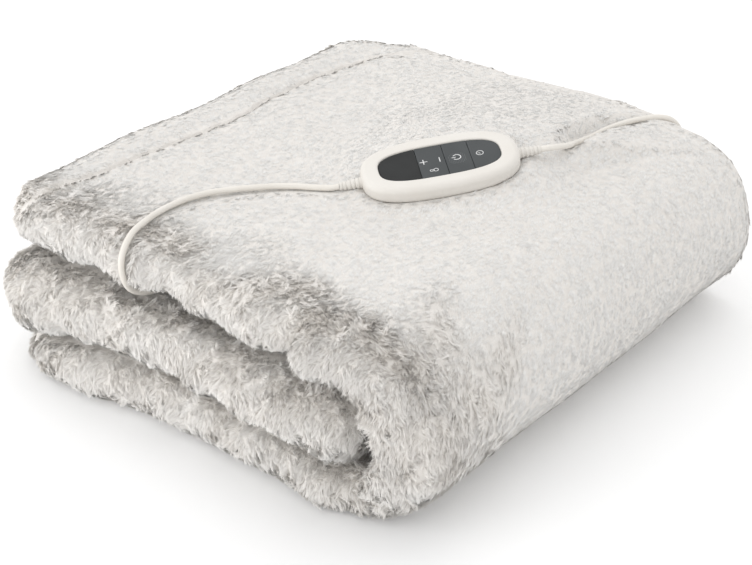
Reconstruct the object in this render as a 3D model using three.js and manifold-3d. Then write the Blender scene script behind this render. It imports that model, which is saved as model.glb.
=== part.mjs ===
// An electric heated blanket, folded into a bundle, with its in-line controller and mains lead.
// Millimetres, +Z up. The origin is the middle of the bundle's base; the layered folds face -Y.
import * as THREE from 'three';
import { mergeVertices } from 'three/addons/utils/BufferGeometryUtils.js';
import Module from 'manifold-3d';

const wasm = await Module();
wasm.setup();

const GAP = 0.3; // between pieces that touch

// ---------------------------------------------------------------- driving dimensions

// The cloth is folded in half twice, which makes a bundle of four plies, and then in thirds. The bundle
// runs along the top, down the right end, back along the base, up the left end and into the middle.
// "inner" and "outer" are the heights of the bundle's two faces, "front" and "back" its reach in Y.
const PLIES = 4;
const PLY_GAP = 1;
const RUN_STEPS = 3; // along each flat ply, from front to back
const FOLD_STEPS = 5; // round each half turn of the section
const EDGE_SETBACK = { second: 4, innermost: 8 }; // the two free edges at the back

const TOP_RUN = [
  { x: -215, inner: 108, outer: 132, front: -182, back: 180 },
  { x: -207, inner: 101, outer: 141, front: -200, back: 200 },
  { x: -193, inner: 98, outer: 145, front: -209, back: 213 }, // crown of the hem
  { x: -179, inner: 97, outer: 140, front: -214, back: 222 }, // stitched line of the hem
  { x: -165, inner: 97, outer: 143, front: -217, back: 229 },
  { x: -146, inner: 97, outer: 143, front: -220, back: 234 },
  { x: -96, inner: 98, outer: 142, front: -213, back: 238 },
  { x: -62, inner: 103, outer: 142, front: -212, back: 239 }, // lifted by the lead tucked below
  { x: -30, inner: 102, outer: 141, front: -205, back: 238 },
  { x: 10, inner: 98, outer: 141, front: -204, back: 238 },
  { x: 60, inner: 97, outer: 141, front: -212, back: 238 },
  { x: 96, inner: 97, outer: 142, front: -205, back: 239 },
  { x: 110, inner: 97, outer: 142, front: -216, back: 239 },
  { x: 145, inner: 97, outer: 142, front: -214, back: 238 },
];
const BASE_RUN = [
  { x: 145, inner: 44, outer: 0, front: -213, back: 234 },
  { x: 125, inner: 44, outer: 0, front: -223, back: 236 },
  { x: 96, inner: 44, outer: 0, front: -219, back: 236 },
  { x: 40, inner: 44, outer: 0, front: -221, back: 237 },
  { x: -36, inner: 44, outer: 0, front: -224, back: 238 },
  { x: -71, inner: 44, outer: 0, front: -229, back: 238 },
  { x: -105, inner: 42, outer: 0, front: -237, back: 238 },
  { x: -146, inner: 33, outer: 0, front: -236, back: 236 },
  { x: -170, inner: 27, outer: 0, front: -226, back: 234 },
];
const MIDDLE_RUN = [
  { x: -170, inner: 29, outer: 95, front: -238, back: 234 },
  { x: -146, inner: 35, outer: 95, front: -239, back: 235 },
  { x: -105, inner: 44, outer: 96, front: -234, back: 236 },
  { x: -62, inner: 46, outer: 96, front: -231, back: 236 },
  { x: -9, inner: 46, outer: 96, front: -225, back: 236 },
  { x: 40, inner: 46, outer: 95, front: -228, back: 235 },
  { x: 107, inner: 46, outer: 95, front: -226, back: 234 },
  { x: 140, inner: 47, outer: 95, front: -224, back: 233 },
  { x: 155, inner: 57, outer: 92, front: -219, back: 230 },
  { x: 168, inner: 68, outer: 81, front: -205, back: 224 },
];
// An end wrap's reach in X beyond its runs, and how far its corners draw in at its start and its end.
const RIGHT_WRAP = { inner: 29, outer: 74, steps: 9, frontTuck: [12, 12], backTuck: [-12, -12] };
const LEFT_WRAP = { inner: -1.2, outer: -47, steps: 7, frontTuck: [72, 24], backTuck: [-46, -46] };

// The controller lies on the bundle, turned by "yaw" with its right end raised by "tilt"
// and its far side by "roll".
const CONTROLLER = { x: 51, y: 15.6, z: 158.2, yaw: 48.5, tilt: 7.5, roll: 9 };
const HOUSING = { length: 125, width: 67, height: 14.5, power: 2.7, edge: 5, points: 56 };
const PANEL = { length: 96, width: 40.5, sunk: 1.2, power: 3, points: 48 };
const RECESS_DEPTH = 5.2; // of the housing below its top
const WINDOW_DEPTH = RECESS_DEPTH - PANEL.sunk - GAP;
const KEY_DEPTH = 2.6;
const KEY_SPLITS = [-17, 4.4, 24.6]; // along the panel, between window, level, power and timer

// A strain relief tapers from wide to narrow, with grooves round it. "inside" is held in its housing.
const RELIEF = { length: 20, inside: 3, wide: 4.6, narrow: 3.3, grooves: 4, depth: 0.7, sides: 20 };
const RELIEF_DROP = 1.5; // of the reliefs' axis below the middle of the housing
const PLUG_RELIEF = { length: 26, inside: 3, wide: 4.8, narrow: 3.3, grooves: 5, depth: 0.7, sides: 16 };

// The lead is round, and its route points are the middle of the cord.
const LEAD_DIAMETER = 5;
const LEAD_SIDES = 10;
const TUBE_STEP = 2.5 * LEAD_DIAMETER;
const MOST_TUBE_STEPS = 80;
const COIL = { x: 85, y: 319, inside: 17.5, outside: 37.5, height: 10.4, corner: 2.4, sides: 40 };

// The plug lies flat. x and y are the middle of its front face, and its pins point along -X.
const PLUG = { x: -46, y: 286, length: 36, front: 35, rear: 15, height: 13.6, edge: 2 };
const PIN = { radius: 2, length: 19, apart: 18.6, sides: 12 };

const COLOURS = {
  plush: 0xe0dcd7,
  cream: 0xf0ebe2,
  window: 0x2c2e30,
  key: 0x5b6063,
  lead: 0xefe9df,
  plug: 0xf0ebe2,
  pin: 0xc8c9cb,
};

// ---------------------------------------------------------------- materials and meshes

function material(color, roughness, metalness = 0) {
  return new THREE.MeshStandardMaterial({ color, roughness, metalness });
}

const MATERIALS = {
  plush: material(COLOURS.plush, 0.95),
  cream: material(COLOURS.cream, 0.42),
  window: material(COLOURS.window, 0.12),
  key: material(COLOURS.key, 0.55),
  lead: material(COLOURS.lead, 0.5),
  plug: material(COLOURS.plug, 0.45),
  pin: material(COLOURS.pin, 0.25, 1),
};

function mesh(name, geometry, slot) {
  const piece = new THREE.Mesh(geometry, MATERIALS[slot]);
  piece.name = name;
  return piece;
}

// ---------------------------------------------------------------- joins and cuts

function solidOf(geometry) {
  const bare = geometry.clone();
  for (const name of ['normal', 'uv']) {
    bare.deleteAttribute(name);
  }
  const merged = mergeVertices(bare, 1e-4);
  return new wasm.Manifold(new wasm.Mesh({
    numProp: 3,
    vertProperties: Float32Array.from(merged.attributes.position.array),
    triVerts: Uint32Array.from(merged.index.array),
  }));
}

function geometryOf(solid) {
  const { vertProperties, triVerts } = solid.getMesh();
  const geometry = new THREE.BufferGeometry();
  geometry.setAttribute('position', new THREE.BufferAttribute(vertProperties, 3));
  geometry.setIndex(new THREE.BufferAttribute(triVerts, 1));
  geometry.computeVertexNormals();
  return geometry;
}

function cut(geometry, ...tools) {
  return geometryOf(tools.reduce((solid, tool) => solid.subtract(solidOf(tool)), solidOf(geometry)));
}

function common(geometry, tool) {
  return geometryOf(solidOf(geometry).intersect(solidOf(tool)));
}

// ---------------------------------------------------------------- the folded blanket

// Samples on the middle of one flat ply. The side called left lies at +n on the way to +Y.
function flatPly(from, to, n) {
  const side = Math.sign(to - from);
  return Array.from({ length: RUN_STEPS + 1 }, (_, i) => ({
    y: THREE.MathUtils.lerp(from, to, i / RUN_STEPS),
    n,
    sideY: 0,
    sideN: side,
  }));
}

// Samples inside one half turn about (y, n), without its two ends. turn is +1 or -1.
function halfTurn(y, n, radius, start, turn) {
  return Array.from({ length: FOLD_STEPS - 1 }, (_, i) => {
    const angle = start + (turn * Math.PI * (i + 1)) / FOLD_STEPS;
    return {
      y: y + radius * Math.cos(angle),
      n: n + radius * Math.sin(angle),
      sideY: -turn * Math.cos(angle),
      sideN: -turn * Math.sin(angle),
    };
  });
}

// The outline of the twice-folded cloth across the bundle: y from front to back, n from its inner face.
function foldedSection(height, front, back) {
  const ply = (height - (PLIES - 1) * PLY_GAP) / PLIES;
  const pitch = ply + PLY_GAP;
  const level = (k) => ply / 2 + k * pitch;
  const frontFold = front + height / 2;
  const backFold = back - ply - PLY_GAP / 2;
  const middle = [
    ...flatPly(back - EDGE_SETBACK.second, frontFold, level(1)),
    ...halfTurn(frontFold, height / 2, pitch / 2, 1.5 * Math.PI, -1),
    ...flatPly(frontFold, backFold, level(2)),
    ...halfTurn(backFold, (level(2) + level(3)) / 2, pitch / 2, -0.5 * Math.PI, 1),
    ...flatPly(backFold, frontFold, level(3)),
    ...halfTurn(frontFold, height / 2, 1.5 * pitch, 0.5 * Math.PI, 1),
    ...flatPly(frontFold, back - EDGE_SETBACK.innermost, level(0)),
  ];
  const offset = (side) => middle.map((s) => ({
    y: s.y + (side * s.sideY * ply) / 2,
    n: s.n + (side * s.sideN * ply) / 2,
  }));
  return [...offset(1), ...offset(-1).reverse()];
}

function runStations(rows) {
  return rows.map(({ x, inner, outer, front, back }) => ({
    inner: { x, z: inner },
    outer: { x, z: outer },
    front,
    back,
  }));
}

// The stations of an end wrap, between the last row of one run and the first row of the next.
function wrapStations(from, to, wrap) {
  return Array.from({ length: wrap.steps - 1 }, (_, i) => {
    const angle = (Math.PI * (i + 1)) / wrap.steps;
    const share = (1 - Math.cos(angle)) / 2;
    const blend = (start, end) => THREE.MathUtils.lerp(start, end, share);
    const face = (side) => ({
      x: from.x + wrap[side] * Math.sin(angle),
      z: blend(from[side], to[side]),
    });
    return {
      inner: face('inner'),
      outer: face('outer'),
      front: blend(from.front, to.front) + blend(...wrap.frontTuck) * Math.sin(angle) ** 3,
      back: blend(from.back, to.back) + blend(...wrap.backTuck) * Math.sin(angle) ** 3,
    };
  });
}

function stationRing({ inner, outer, front, back }) {
  const height = Math.hypot(outer.x - inner.x, outer.z - inner.z);
  return foldedSection(height, front, back).map(({ y, n }) => [
    THREE.MathUtils.lerp(inner.x, outer.x, n / height),
    y,
    THREE.MathUtils.lerp(inner.z, outer.z, n / height),
  ]);
}

// Joins a row of equal rings, each the outline of a strip whose two sides run there and back.
function stripSolid(rings) {
  const count = rings[0].length;
  const faces = [];
  const quad = (a, b, c, d) => faces.push(a, c, b, a, d, c);
  for (let r = 0; r + 1 < rings.length; r += 1) {
    for (let i = 0; i < count; i += 1) {
      const j = (i + 1) % count;
      quad(r * count + i, r * count + j, (r + 1) * count + j, (r + 1) * count + i);
    }
  }
  const last = (rings.length - 1) * count;
  for (let i = 0; i + 1 < count / 2; i += 1) {
    const far = count - 1 - i;
    quad(i, far, far - 1, i + 1);
    quad(last + i, last + i + 1, last + far - 1, last + far);
  }
  const geometry = new THREE.BufferGeometry();
  geometry.setAttribute('position', new THREE.Float32BufferAttribute(rings.flat(2), 3));
  geometry.setIndex(faces);
  geometry.computeVertexNormals();
  return geometry;
}

function blanket() {
  const stations = [
    ...runStations(TOP_RUN),
    ...wrapStations(TOP_RUN.at(-1), BASE_RUN[0], RIGHT_WRAP),
    ...runStations(BASE_RUN),
    ...wrapStations(BASE_RUN.at(-1), MIDDLE_RUN[0], LEFT_WRAP),
    ...runStations(MIDDLE_RUN),
  ];
  return mesh('blanket', stripSolid(stations.map(stationRing)), 'plush');
}

// ---------------------------------------------------------------- the controller

function ovalShape({ length, width, power, points }, inset = 0) {
  const along = length / 2 - inset;
  const across = width / 2 - inset;
  const arc = (value) => Math.sign(value) * Math.abs(value) ** (2 / power);
  return new THREE.Shape(Array.from({ length: points }, (_, i) => {
    const angle = (2 * Math.PI * i) / points;
    return new THREE.Vector2(along * arc(Math.cos(angle)), across * arc(Math.sin(angle)));
  }));
}

function prism(shape, bottom, top) {
  const geometry = new THREE.ExtrudeGeometry(shape, { depth: top - bottom, bevelEnabled: false });
  return geometry.translate(0, 0, bottom);
}

function latheAboutZ(profile, sides) {
  const points = profile.map(([radius, z]) => new THREE.Vector2(radius, z));
  return new THREE.LatheGeometry(points, sides).rotateX(Math.PI / 2);
}

function slab(fromX, toX, bottom, top) {
  const box = new THREE.BoxGeometry(toX - fromX, 2 * PANEL.width, top - bottom);
  return box.translate((fromX + toX) / 2, 0, (bottom + top) / 2);
}

// A cone about X, from its wide end at x = 0 to its narrow end, with grooves round it.
function ribbedRelief({ length, wide, narrow, grooves, depth, sides }) {
  const radius = (x) => THREE.MathUtils.lerp(wide, narrow, x / length);
  const pitch = length / (grooves + 1);
  const profile = [[0, 0], [wide, 0]];
  for (let i = 1; i <= grooves; i += 1) {
    const start = pitch * (i - 0.2);
    const end = pitch * (i + 0.2);
    profile.push([radius(start), start]);
    profile.push([radius(start) - depth, start + 0.1]);
    profile.push([radius(end) - depth, end - 0.1]);
    profile.push([radius(end), end]);
  }
  profile.push([narrow, length], [0, length]);
  return latheAboutZ(profile, sides).rotateY(Math.PI / 2);
}

function housing() {
  const top = HOUSING.height / 2;
  const round = { bevelThickness: HOUSING.edge, bevelSize: HOUSING.edge, bevelSegments: 4 };
  const shell = new THREE.ExtrudeGeometry(ovalShape(HOUSING, HOUSING.edge), {
    depth: HOUSING.height - 2 * HOUSING.edge,
    ...round,
  }).translate(0, 0, HOUSING.edge - top);
  const recess = prism(ovalShape(PANEL, -GAP), top - RECESS_DEPTH, top + 1);
  const sockets = [-1, 1].map((side) => {
    const hole = new THREE.CylinderGeometry(RELIEF.wide + GAP, RELIEF.wide + GAP, 20, RELIEF.sides);
    const middle = HOUSING.length / 2 - RELIEF.inside - GAP + 10;
    return hole.rotateZ(Math.PI / 2).translate(side * middle, 0, -RELIEF_DROP);
  });
  return mesh('controller_housing', cut(shell, recess, ...sockets), 'cream');
}

// One piece of the dark panel, between two lines across it.
function panelPiece(name, fromX, toX, depth, slot) {
  const top = HOUSING.height / 2 - PANEL.sunk;
  const oval = prism(ovalShape(PANEL), top - depth, top);
  return mesh(name, common(oval, slab(fromX, toX, top - 2 * depth, top + depth)), slot);
}

function relief(name, side) {
  const piece = mesh(name, ribbedRelief(RELIEF), 'cream');
  piece.position.set(side * (HOUSING.length / 2 - RELIEF.inside), 0, -RELIEF_DROP);
  piece.rotation.z = side > 0 ? 0 : Math.PI;
  return piece;
}

function controller() {
  const [first, second, third] = KEY_SPLITS;
  const end = PANEL.length / 2 + 1;
  const half = GAP / 2;
  const { roll, tilt, yaw } = CONTROLLER;
  const turn = [roll, -tilt, yaw].map(THREE.MathUtils.degToRad);
  const group = new THREE.Group();
  group.add(
    housing(),
    panelPiece('display_window', -end, first - half, WINDOW_DEPTH, 'window'),
    panelPiece('level_key', first + half, second - half, KEY_DEPTH, 'key'),
    panelPiece('power_key', second + half, third - half, KEY_DEPTH, 'key'),
    panelPiece('timer_key', third + half, end, KEY_DEPTH, 'key'),
    relief('relief_left', -1),
    relief('relief_right', 1),
  );
  group.rotation.set(...turn, 'ZYX');
  group.position.set(CONTROLLER.x, CONTROLLER.y, CONTROLLER.z);
  return group;
}

// ---------------------------------------------------------------- the lead and its plug

// From the controller's left end over the front fold and in between the top and middle bundles.
const LEFT_ROUTE = [
  [-1.6, -43.6, 146.4],
  [-6.6, -48.4, 145.5],
  [-16, -54.5, 145],
  [-30, -62.8, 144.8],
  [-41, -71.8, 144.8],
  [-50, -81.8, 144.8],
  [-61, -95, 144.8],
  [-71.5, -111, 145],
  [-78, -129, 145.2],
  [-80, -147, 145.3],
  [-79, -165, 145.3],
  [-75, -182, 145.3],
  [-71, -195, 144.9],
  [-67, -206, 140.6],
  [-64, -213.6, 132.8],
  [-62, -215.8, 122.5],
  [-61, -213, 111.3],
  [-60, -206, 103.7],
  [-57, -196, 99.9],
  [-53, -182, 99.4],
  [-48, -166, 99.4],
];

// From the controller's right end over the back edge, down the back and along the floor to the coil.
const RIGHT_ROUTE = [
  [103.5, 75.3, 167.2],
  [107.4, 79.8, 167.9],
  [110.5, 88, 166.8],
  [110, 99.5, 163.2],
  [106, 113, 157.8],
  [101, 129, 152],
  [98, 145, 147.8],
  [97, 161, 145.4],
  [97.5, 176, 145],
  [100, 191, 145],
  [104, 205, 145],
  [110, 217, 145.2],
  [117.5, 227.5, 145.4],
  [125, 237, 142.6],
  [130.3, 243.8, 134.2],
  [133, 246, 122],
  [134.3, 247, 104],
  [135, 247, 80],
  [135, 247.6, 52],
  [134.2, 250.5, 30],
  [132.5, 256, 14.8],
  [129.5, 263, 6.6],
  [124.5, 270.6, 3.4],
  [118, 277.3, 2.8],
  [111.5, 281.8, 2.8],
  [104.2, 284.2, 2.8],
];

// From the coil to the plug.
const TAIL_ROUTE = [
  [65, 284.2, 6],
  [56, 284.4, 4.3],
  [47, 284.8, 3.1],
  [38, 285.2, 3],
  [29.5, 285.6, 4.4],
  [21.5, 285.9, 6.5],
  [13.4, 286, 6.8],
];

function leadTube(name, route) {
  const curve = new THREE.CatmullRomCurve3(route.map((p) => new THREE.Vector3(...p)));
  const steps = Math.min(MOST_TUBE_STEPS, Math.round(curve.getLength() / TUBE_STEP));
  const section = new THREE.Shape(Array.from({ length: LEAD_SIDES }, (_, i) => {
    const angle = (2 * Math.PI * i) / LEAD_SIDES;
    return new THREE.Vector2(Math.cos(angle), Math.sin(angle)).multiplyScalar(LEAD_DIAMETER / 2);
  }));
  return mesh(name, new THREE.ExtrudeGeometry(section, { steps, extrudePath: curve }), 'lead');
}

function leadCoil() {
  const { inside, outside, height, corner } = COIL;
  const piece = mesh('lead_coil', latheAboutZ([
    [inside, corner],
    [inside + corner, 0],
    [outside - corner, 0],
    [outside, corner],
    [outside, height - corner],
    [outside - corner, height],
    [inside + corner, height],
    [inside, height - corner],
    [inside, corner],
  ], COIL.sides), 'lead');
  piece.position.set(COIL.x, COIL.y, 0);
  return piece;
}

// The body's outline from above: a wide front with the pins, and shoulders that draw in to the relief.
function plugBody() {
  const { length, front, rear, height, edge } = PLUG;
  const reach = length - edge;
  const wide = front / 2 - edge;
  const slim = rear / 2 - edge;
  const half = [
    [edge, wide],
    [0.42 * length, wide],
    [0.62 * length, 0.8 * wide],
    [0.8 * length, slim + 1],
    [reach, slim],
  ];
  const outline = [...half, ...half.map(([x, y]) => [x, -y]).reverse()];
  const body = new THREE.ExtrudeGeometry(new THREE.Shape(outline.map((p) => new THREE.Vector2(...p))), {
    depth: height - 2 * edge,
    bevelThickness: edge,
    bevelSize: edge,
    bevelSegments: 3,
  }).translate(0, 0, edge);
  const socket = new THREE.CylinderGeometry(
    PLUG_RELIEF.wide + GAP,
    PLUG_RELIEF.wide + GAP,
    20,
    PLUG_RELIEF.sides,
  ).rotateZ(Math.PI / 2).translate(length - PLUG_RELIEF.inside - GAP + 10, 0, height / 2);
  return mesh('plug_body', cut(body, socket), 'plug');
}

function plugPin(name, side) {
  const pin = new THREE.CylinderGeometry(PIN.radius, PIN.radius, PIN.length, PIN.sides);
  const piece = mesh(name, pin.rotateZ(Math.PI / 2), 'pin');
  piece.position.set(-GAP - PIN.length / 2, (side * PIN.apart) / 2, PLUG.height / 2);
  return piece;
}

function plug() {
  const group = new THREE.Group();
  const tail = mesh('plug_relief', ribbedRelief(PLUG_RELIEF), 'plug');
  tail.position.set(PLUG.length - PLUG_RELIEF.inside, 0, PLUG.height / 2);
  group.add(plugBody(), plugPin('plug_pin_a', -1), plugPin('plug_pin_b', 1), tail);
  group.position.set(PLUG.x, PLUG.y, 0);
  return group;
}

const root = new THREE.Group();
root.add(
  blanket(),
  controller(),
  leadTube('lead_left', LEFT_ROUTE),
  leadTube('lead_right', RIGHT_ROUTE),
  leadCoil(),
  leadTube('lead_tail', TAIL_ROUTE),
  plug(),
);

export default root;
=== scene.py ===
import math

import bpy
import numpy as np
from numpy.linalg import norm
from mathutils import Matrix, Vector
from mathutils.bvhtree import BVHTree


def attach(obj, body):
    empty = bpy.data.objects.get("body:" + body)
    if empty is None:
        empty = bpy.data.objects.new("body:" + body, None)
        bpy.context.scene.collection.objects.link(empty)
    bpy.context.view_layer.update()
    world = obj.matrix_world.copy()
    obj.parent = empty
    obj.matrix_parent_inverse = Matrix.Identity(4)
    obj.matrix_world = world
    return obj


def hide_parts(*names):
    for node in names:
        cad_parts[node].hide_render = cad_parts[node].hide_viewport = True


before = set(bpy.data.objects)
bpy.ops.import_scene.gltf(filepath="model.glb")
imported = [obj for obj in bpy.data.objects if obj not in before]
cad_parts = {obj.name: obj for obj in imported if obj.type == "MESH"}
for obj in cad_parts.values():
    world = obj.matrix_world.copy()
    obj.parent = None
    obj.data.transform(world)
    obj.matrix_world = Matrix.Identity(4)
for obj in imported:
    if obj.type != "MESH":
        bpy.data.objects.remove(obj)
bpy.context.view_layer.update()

MM = 0.001
ROOT = "blanket_and_controller"
random = np.random.default_rng(7)


# ---- camera

LENS = 75.3
CAMERA_PLACE = (0.7215, -0.855, 0.705)
CAMERA_TURN = (59.3, 0, 40.2)


def add_object(name, data):
    thing = bpy.data.objects.new(name, data)
    bpy.context.collection.objects.link(thing)
    return thing


def add_camera():
    data = bpy.data.cameras.new("camera")
    data.lens = LENS
    camera = add_object("camera", data)
    camera.location = CAMERA_PLACE
    camera.rotation_euler = [math.radians(angle) for angle in CAMERA_TURN]
    bpy.context.scene.camera = camera


# ---- node materials

# Scales of noise, in waves over a metre, and the range of nearly all of it.
PLASTIC_DRIFT = 35
PLASTIC_GRAIN = 2600
GROUND_DRIFT = 160
GROUND_GRAIN = 1500
NOISE_RANGE = (0.3, 0.7)
# Darkest and lightest colour, roughness, depth of the grain in metres and gloss level.
PLASTICS = {
    "lead_sheath": ((0.7, 0.665, 0.61), (0.74, 0.71, 0.66), 0.45, 0.00004, 0.5),
    "cream_housing": ((0.66, 0.63, 0.585), (0.69, 0.665, 0.625), 0.45, 0.00004, 0.5),
    "dark_window": ((0.022, 0.023, 0.023), (0.03, 0.031, 0.031), 0.2, 0.00001, 0.08),
    "grey_key": ((0.058, 0.063, 0.065), (0.07, 0.075, 0.077), 0.4, 0.00001, 0.12),
    "pale_mark": ((0.62, 0.62, 0.62), (0.7, 0.7, 0.7), 0.5, 0.00004, 0.5),
    "grey_dot": ((0.14, 0.15, 0.155), (0.17, 0.18, 0.185), 0.45, 0.00004, 0.5),
    "plug_moulding": ((0.82, 0.78, 0.715), (0.86, 0.825, 0.765), 0.42, 0.00004, 0.5),
    "pin_plating": ((0.62, 0.62, 0.64), (0.72, 0.72, 0.74), 0.2, 0.000008, 0.5),
}
GRAIN_STRENGTH = 0.6
GLOSS_DRIFT = (-0.06, 0.08)
# The ground's darkest and lightest colour: it drifts at random, and is darker than the strands as painted
# shade between the tufts.
GROUND_COLOURS_WITH_SHADE = ((0.68, 0.65, 0.615), (0.76, 0.735, 0.7))
GROUND_DEPTH = 0.0006
# Colours of a strand from root (0) to tip (1), where it lies and where it stands; the darker roots are
# painted shade among the strands.
LYING_WITH_ROOT_SHADE = ((0.05, (0.7, 0.685, 0.665)), (0.5, (0.78, 0.77, 0.75)), (0.95, (0.83, 0.825, 0.81)))
STANDING_WITH_ROOT_SHADE = ((0.05, (0.72, 0.68, 0.635)), (0.4, (0.86, 0.832, 0.797)), (0.95, (0.93, 0.908, 0.878)))
STRAND_TONES = (0.88, 1.04)
# A Mix node's sockets for colours.
MIX_A = 6
MIX_B = 7
MIX_RESULT = 2


def new_material(name):
    material = bpy.data.materials.new(name)
    material.use_nodes = True
    return material, material.node_tree, material.node_tree.nodes["Principled BSDF"]


def connect(tree, node, sources):
    for socket, source in sources.items():
        tree.links.new(source, node.inputs[socket])


def set_values(node, values):
    for socket, value in values.items():
        node.inputs[socket].default_value = value


def add_node(tree, kind, sources, values={}):
    """A node with links into some of its inputs and constant values on others."""
    node = tree.nodes.new("ShaderNode" + kind)
    connect(tree, node, sources)
    set_values(node, values)
    return node


def noise(tree, scale, detail):
    """Noise over the piece's own coordinates, in metres."""
    place = add_node(tree, "TexCoord", {}).outputs["Object"]
    return add_node(tree, "TexNoise", {"Vector": place}, {"Scale": scale, "Detail": detail}).outputs["Fac"]


def ramp(tree, source, stops):
    node = add_node(tree, "ValToRGB", {"Fac": source})
    elements = node.color_ramp.elements
    while len(elements) < len(stops):
        elements.new(0.5)
    for element, (position, colour) in zip(elements, stops):
        element.position = position
        element.color = (*colour, 1)
    return node.outputs["Color"]


def bump(tree, source, distance, strength):
    node = add_node(tree, "Bump", {"Height": source}, {"Distance": distance, "Strength": strength})
    return node.outputs["Normal"]


def map_range(tree, source, low, high):
    return add_node(tree, "MapRange", {"Value": source}, {"To Min": low, "To Max": high}).outputs["Result"]


def moulded(name):
    """Moulded plastic or plating: a colour that drifts a little, a fine grain and an uneven gloss."""
    low, high, roughness, grain, gloss_level = PLASTICS[name]
    material, tree, shader = new_material(name)
    drift = noise(tree, PLASTIC_DRIFT, 3)
    connect(tree, shader, {
        "Base Color": ramp(tree, drift, list(zip(NOISE_RANGE, (low, high)))),
        "Normal": bump(tree, noise(tree, PLASTIC_GRAIN, 2), grain, GRAIN_STRENGTH),
        "Roughness": map_range(tree, drift, roughness + GLOSS_DRIFT[0], roughness + GLOSS_DRIFT[1]),
    })
    set_values(shader, {"Specular IOR Level": gloss_level})
    return material


def ground_material():
    """The knitted ground that the pile stands on, seen only between its tufts: its colour drifts at random,
    and is darker than the strands as painted shade between the tufts.
    """
    material, tree, shader = new_material("plush_ground")
    connect(tree, shader, {
        "Base Color": ramp(tree, noise(tree, GROUND_DRIFT, 4), list(zip(NOISE_RANGE, GROUND_COLOURS_WITH_SHADE))),
        "Normal": bump(tree, noise(tree, GROUND_GRAIN, 2), GROUND_DEPTH, 1.0),
    })
    set_values(shader, {"Roughness": 1.0})
    return material


# A strand's map is one cell of a grid: its column sets its tone, and its row how far it stands up.
CELLS_ACROSS = 64
CELLS_UP = 16


def calculate(tree, operation, value, by=0.5):
    node = add_node(tree, "Math", {0: value}, {1: by})
    node.operation = operation
    return node.outputs["Value"]


def pile_material():
    """The strands' colour, by how far each stands up and from its root to its tip, with painted shade
    darkening the roots.
    """
    material, tree, shader = new_material("plush_pile")
    place = add_node(tree, "UVMap", {})
    place.uv_map = "OFBake"
    split = add_node(tree, "SeparateXYZ", {"Vector": place.outputs["UV"]})
    rows = calculate(tree, "MULTIPLY", split.outputs["Y"], CELLS_UP)
    height = calculate(tree, "FRACT", rows)
    stand = calculate(tree, "DIVIDE", calculate(tree, "FLOOR", rows), CELLS_UP - 1)
    mix = tree.nodes.new("ShaderNodeMix")
    mix.data_type = "RGBA"
    # Painted shade: each strand's colour darkens from its tip towards its root.
    low, high = ramp(tree, height, LYING_WITH_ROOT_SHADE), ramp(tree, height, STANDING_WITH_ROOT_SHADE)
    connect(tree, mix, {"Factor": stand, MIX_A: low, MIX_B: high})
    scale = tree.nodes.new("ShaderNodeVectorMath")
    scale.operation = "SCALE"
    tone = map_range(tree, split.outputs["X"], *STRAND_TONES)
    connect(tree, scale, {"Vector": mix.outputs[MIX_RESULT], "Scale": tone})
    connect(tree, shader, {"Base Color": scale.outputs["Vector"]})
    set_values(shader, {"Roughness": 0.9, "Specular IOR Level": 0.25, "Sheen Weight": 0.15})
    return material


# ---- mesh helpers

def new_piece(name, verts, faces, material, replaces=None, body=ROOT):
    """A piece that rides on a body and may stand in for one of the CAD's nodes."""
    mesh = bpy.data.meshes.new(name)
    mesh.from_pydata([tuple(v) for v in verts], [], [tuple(f) for f in faces])
    mesh.materials.append(material)
    mesh.shade_smooth()
    mesh.validate()
    piece = add_object(name, mesh)
    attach(piece, body)
    if replaces:
        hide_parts(replaces)
    return piece


def loft(rings, closed=False):
    """Quads between rings of the same number of points, with flat caps unless the last meets the first."""
    total, count = len(rings), len(rings[0])
    faces = []
    for r in range(total if closed else total - 1):
        low, high = r * count, (r + 1) % total * count
        for i in range(count):
            j = (i + 1) % count
            faces.append((low + i, low + j, high + j, high + i))
    if not closed:
        faces.append(tuple(reversed(range(count))))
        faces.append(tuple(range((total - 1) * count, total * count)))
    return np.concatenate(rings), faces


def turned_over(faces):
    return [tuple(reversed(face)) for face in faces]


# ---- the lead

# Route points in millimetres, as in the CAD part.
LEFT_ROUTE = (
    (-1.6, -43.6, 146.4), (-6.6, -48.4, 145.5), (-16, -54.5, 145), (-30, -62.8, 144.8),
    (-41, -71.8, 144.8), (-50, -81.8, 144.8), (-61, -95, 144.8), (-71.5, -111, 145),
    (-78, -129, 145.2), (-80, -147, 145.3), (-79, -165, 145.3), (-75, -182, 145.3),
    (-71, -195, 144.9), (-67, -206, 140.6), (-64, -213.6, 132.8), (-62, -215.8, 122.5),
    (-61, -213, 111.3), (-60, -206, 103.7), (-57, -196, 99.9), (-53, -182, 99.4),
    (-48, -166, 99.4),
)
RIGHT_ROUTE = (
    (103.5, 75.3, 167.2), (107.4, 79.8, 167.9), (110.5, 88, 166.8), (110, 99.5, 163.2),
    (106, 113, 157.8), (101, 129, 152), (98, 145, 147.8), (97, 161, 145.4),
    (97.5, 176, 145), (100, 191, 145), (104, 205, 145), (110, 217, 145.2),
    (117.5, 227.5, 145.4), (125, 237, 142.6), (130.3, 243.8, 134.2), (133, 246, 122),
    (134.3, 247, 104), (135, 247, 80), (135, 247.6, 52), (134.2, 250.5, 30),
    (132.5, 256, 14.8), (129.5, 263, 6.6), (124.5, 270.6, 3.4), (118, 277.3, 2.8),
    (111.5, 281.8, 2.8), (105.8, 284.2, 2.8),
)
TAIL_ROUTE = (
    (64, 284.2, 6), (56, 284.4, 4.3), (47, 284.8, 3.1), (38, 285.2, 3),
    (29.5, 285.6, 4.4), (21.5, 285.9, 6.5), (13.4, 286, 6.8),
)
LEAD_DIAMETER = 5
COIL_X = 85
COIL_Y = 321.5
COIL_LOW = 2.7
COIL_HIGH = 7.8
COIL_OUTER = 37.5
COIL_INNER = 20
TURN_POINTS = 32


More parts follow.
